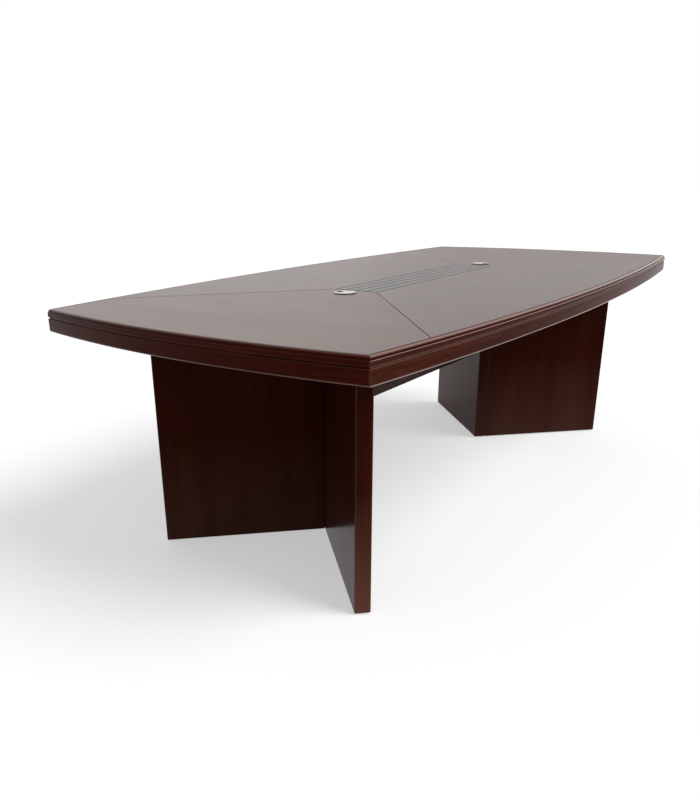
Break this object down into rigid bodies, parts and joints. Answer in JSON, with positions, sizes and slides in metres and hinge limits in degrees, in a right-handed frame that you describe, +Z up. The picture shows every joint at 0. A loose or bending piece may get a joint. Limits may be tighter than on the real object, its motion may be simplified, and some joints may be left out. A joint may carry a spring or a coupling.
{
  "type": "conference table",
  "caption": "Boat-shaped veneered conference table with a moulded double edge, V-shaped panel pedestals, a modesty beam and cable grommets.",
  "frame": {"origin": "on the floor, under the middle of the table", "axes": "+X along the table's length, +Y across it, +Z up"},
  "size_m": [2.4, 1.2, 0.7525],
  "materials": {
    "veneer": "gloss lacquer on mahogany veneer",
    "lipping": "gloss lacquer on solid mahogany",
    "board": "raw fibreboard and softwood",
    "black_steel": "satin black",
    "satin_nickel": "satin nickel",
    "nylon": "plain"
  },
  "bodies": {
    "table": {"core_board": "board", "end_field_1": "veneer", "end_field_2": "veneer", "side_field_1": "veneer", "side_field_2": "veneer", "spine_strip_1": "veneer", "spine_strip_2": "veneer", "spine_strip_3": "veneer", "spine_strip_4": "veneer", "lipping_end_1": "lipping", "lipping_end_2": "lipping", "lipping_side_1": "lipping", "lipping_side_2": "lipping", "skirt_end_1": "lipping", "skirt_end_2": "lipping", "skirt_side_1": "lipping", "skirt_side_2": "lipping", "mounting_board_1": "board", "mounting_board_2": "board", "stiffener_rail_1": "board", "stiffener_rail_2": "board", "centre_rail": "board", "modesty_beam": "veneer", "beam_cleat_1": "board", "beam_cleat_2": "board", "beam_bracket_1": "black_steel", "beam_bracket_2": "black_steel", "beam_bracket_3": "black_steel", "beam_bracket_4": "black_steel", "pedestal_1_butted_panel": "veneer", "pedestal_1_through_panel": "veneer", "pedestal_1_corner_block": "board", "pedestal_1_bracket_1": "black_steel", "pedestal_1_bracket_2": "black_steel", "pedestal_1_bracket_3": "black_steel", "pedestal_1_bracket_4": "black_steel", "pedestal_1_glide_1": "nylon", "pedestal_1_glide_2": "nylon", "pedestal_1_glide_3": "nylon", "pedestal_1_glide_4": "nylon", "pedestal_2_butted_panel": "veneer", "pedestal_2_through_panel": "veneer", "pedestal_2_corner_block": "board", "pedestal_2_bracket_1": "black_steel", "pedestal_2_bracket_2": "black_steel", "pedestal_2_bracket_3": "black_steel", "pedestal_2_bracket_4": "black_steel", "pedestal_2_glide_1": "nylon", "pedestal_2_glide_2": "nylon", "pedestal_2_glide_3": "nylon", "pedestal_2_glide_4": "nylon", "grommet_liner_1": "satin_nickel", "grommet_liner_2": "satin_nickel"},
    "grommet_cap_1": {"grommet_cap_1": "satin_nickel"},
    "grommet_cap_2": {"grommet_cap_2": "satin_nickel"}
  },
  "joints": [
    {"name": "grommet_cap_1_turn", "type": "hinge", "parent": "table", "child": "grommet_cap_1", "pos_m": [-0.47289, 0, 0.75], "axis": [0, 0, 1], "continuous": true},
    {"name": "grommet_cap_2_turn", "type": "hinge", "parent": "table", "child": "grommet_cap_2", "pos_m": [0.47289, 0, 0.75], "axis": [0, 0, 1], "continuous": true}
  ]
}
